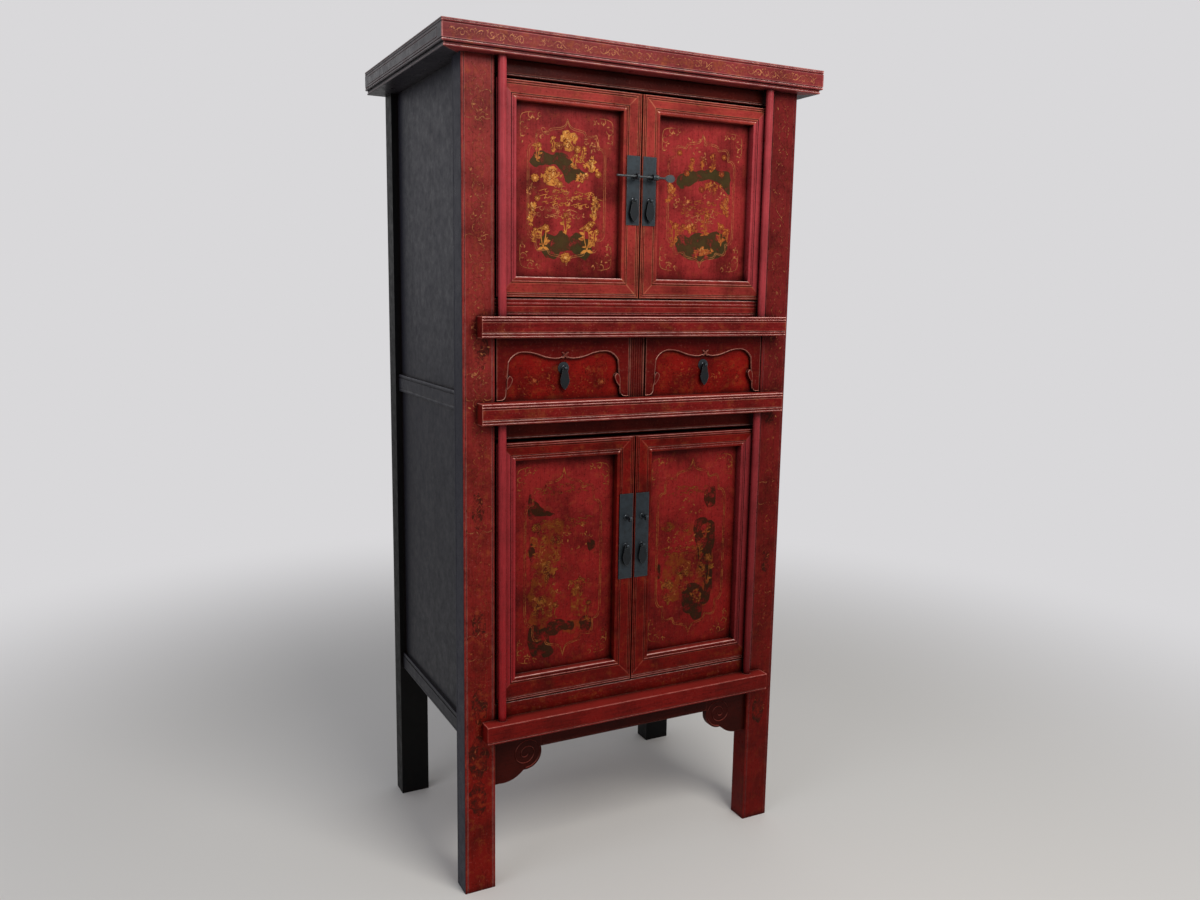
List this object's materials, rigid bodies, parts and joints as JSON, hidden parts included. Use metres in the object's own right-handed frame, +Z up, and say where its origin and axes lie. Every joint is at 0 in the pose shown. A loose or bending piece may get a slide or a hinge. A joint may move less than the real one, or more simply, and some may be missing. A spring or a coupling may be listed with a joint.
{
  "type": "two-tier lacquered cabinet",
  "caption": "Tall lacquered wooden cabinet on four post legs, with two pairs of pivot-hung panelled doors, a pair of drawers between projecting rails, and an overhanging moulded cornice.",
  "frame": {"origin": "on the floor, under the middle of the overall box", "axes": "+Z up, the doors face -Y, +X to the right as seen from the front"},
  "size_m": [0.944, 0.604, 1.9],
  "materials": {
    "red_lacquer": "worn red lacquer with traces of gilding",
    "panel_lacquer": "red lacquer with gilt and olive decoration",
    "black_lacquer": "matt black lacquer",
    "bare_wood": "bare softwood darkened by age",
    "iron": "dark forged iron"
  },
  "bodies": {
    "carcass": {"apron": "red_lacquer", "apron_brackets": "red_lacquer", "back_panels": "black_lacquer", "back_rails": "black_lacquer", "base_rail": "red_lacquer", "bearers": "bare_wood", "cornice_front": "red_lacquer", "cornice_returns": "black_lacquer", "drawer_deck": "bare_wood", "drawer_divider": "red_lacquer", "drawer_guides": "bare_wood", "floor_lower": "bare_wood", "floor_upper": "bare_wood", "frieze_lower": "red_lacquer", "frieze_upper": "red_lacquer", "post_back_left": "black_lacquer", "post_back_right": "black_lacquer", "post_front_left": "red_lacquer", "post_front_right": "red_lacquer", "shelf": "bare_wood", "side_panels_left": "black_lacquer", "side_panels_right": "black_lacquer", "side_rails_left": "black_lacquer", "side_rails_right": "black_lacquer", "sill_lower": "red_lacquer", "sill_upper": "red_lacquer", "top_boards": "black_lacquer", "waist_rail_lower": "red_lacquer", "waist_rail_upper": "red_lacquer"},
    "door_upper_left": {"door_upper_left_hinge_stile": "red_lacquer", "door_upper_left_frame": "red_lacquer", "door_upper_left_panel": "panel_lacquer", "door_upper_left_plate": "iron"},
    "door_upper_left_pull": {"door_upper_left_pull": "iron"},
    "door_upper_right": {"door_upper_right_hinge_stile": "red_lacquer", "door_upper_right_frame": "red_lacquer", "door_upper_right_panel": "panel_lacquer", "door_upper_right_plate": "iron"},
    "door_upper_right_pull": {"door_upper_right_pull": "iron"},
    "door_lower_left": {"door_lower_left_hinge_stile": "red_lacquer", "door_lower_left_frame": "red_lacquer", "door_lower_left_panel": "panel_lacquer", "door_lower_left_plate": "iron"},
    "door_lower_left_pull": {"door_lower_left_pull": "iron"},
    "door_lower_right": {"door_lower_right_hinge_stile": "red_lacquer", "door_lower_right_frame": "red_lacquer", "door_lower_right_panel": "panel_lacquer", "door_lower_right_plate": "iron"},
    "door_lower_right_pull": {"door_lower_right_pull": "iron"},
    "drawer_left": {"drawer_left_front": "red_lacquer", "drawer_left_arch": "red_lacquer", "drawer_left_box": "bare_wood", "drawer_left_plate": "iron"},
    "drawer_left_pull": {"drawer_left_pull": "iron"},
    "drawer_right": {"drawer_right_front": "red_lacquer", "drawer_right_arch": "red_lacquer", "drawer_right_box": "bare_wood", "drawer_right_plate": "iron"},
    "drawer_right_pull": {"drawer_right_pull": "iron"},
    "lock_pin": {"lock_pin": "iron"}
  },
  "joints": [
    {"name": "door_upper_left_pivot", "type": "hinge", "parent": "carcass", "child": "door_upper_left", "pos_m": [-0.3355, -0.275, 1.5835], "axis": [0, 0, -1], "range_deg": [0, 170]},
    {"name": "door_upper_left_pull_swing", "type": "hinge", "parent": "door_upper_left", "child": "door_upper_left_pull", "pos_m": [-0.0205, -0.275, 1.577], "axis": [-1, 0, 0], "range_deg": [-5, 80]},
    {"name": "door_upper_right_pivot", "type": "hinge", "parent": "carcass", "child": "door_upper_right", "pos_m": [0.3355, -0.275, 1.5835], "axis": [0, 0, 1], "range_deg": [0, 170]},
    {"name": "door_upper_right_pull_swing", "type": "hinge", "parent": "door_upper_right", "child": "door_upper_right_pull", "pos_m": [0.0205, -0.275, 1.577], "axis": [-1, 0, 0], "range_deg": [-5, 80]},
    {"name": "door_lower_left_pivot", "type": "hinge", "parent": "carcass", "child": "door_lower_left", "pos_m": [-0.3355, -0.275, 0.751], "axis": [0, 0, -1], "range_deg": [0, 170]},
    {"name": "door_lower_left_pull_swing", "type": "hinge", "parent": "door_lower_left", "child": "door_lower_left_pull", "pos_m": [-0.0215, -0.275, 0.785], "axis": [-1, 0, 0], "range_deg": [-5, 80]},
    {"name": "door_lower_right_pivot", "type": "hinge", "parent": "carcass", "child": "door_lower_right", "pos_m": [0.3355, -0.275, 0.751], "axis": [0, 0, 1], "range_deg": [0, 170]},
    {"name": "door_lower_right_pull_swing", "type": "hinge", "parent": "door_lower_right", "child": "door_lower_right_pull", "pos_m": [0.0215, -0.275, 0.785], "axis": [-1, 0, 0], "range_deg": [-5, 80]},
    {"name": "drawer_left_slide", "type": "slide", "parent": "carcass", "child": "drawer_left", "axis": [0, -1, 0], "range_m": [0, 0.38]},
    {"name": "drawer_left_pull_swing", "type": "hinge", "parent": "drawer_left", "child": "drawer_left_pull", "pos_m": [-0.18375, -0.267, 1.2062], "axis": [-1, 0, 0], "range_deg": [-5, 80]},
    {"name": "drawer_right_slide", "type": "slide", "parent": "carcass", "child": "drawer_right", "axis": [0, -1, 0], "range_m": [0, 0.38]},
    {"name": "drawer_right_pull_swing", "type": "hinge", "parent": "drawer_right", "child": "drawer_right_pull", "pos_m": [0.18375, -0.267, 1.2062], "axis": [-1, 0, 0], "range_deg": [-5, 80]},
    {"name": "lock_pin_slide", "type": "slide", "parent": "door_upper_right", "child": "lock_pin", "axis": [1, 0, 0], "range_m": [0, 0.075]}
  ]
}
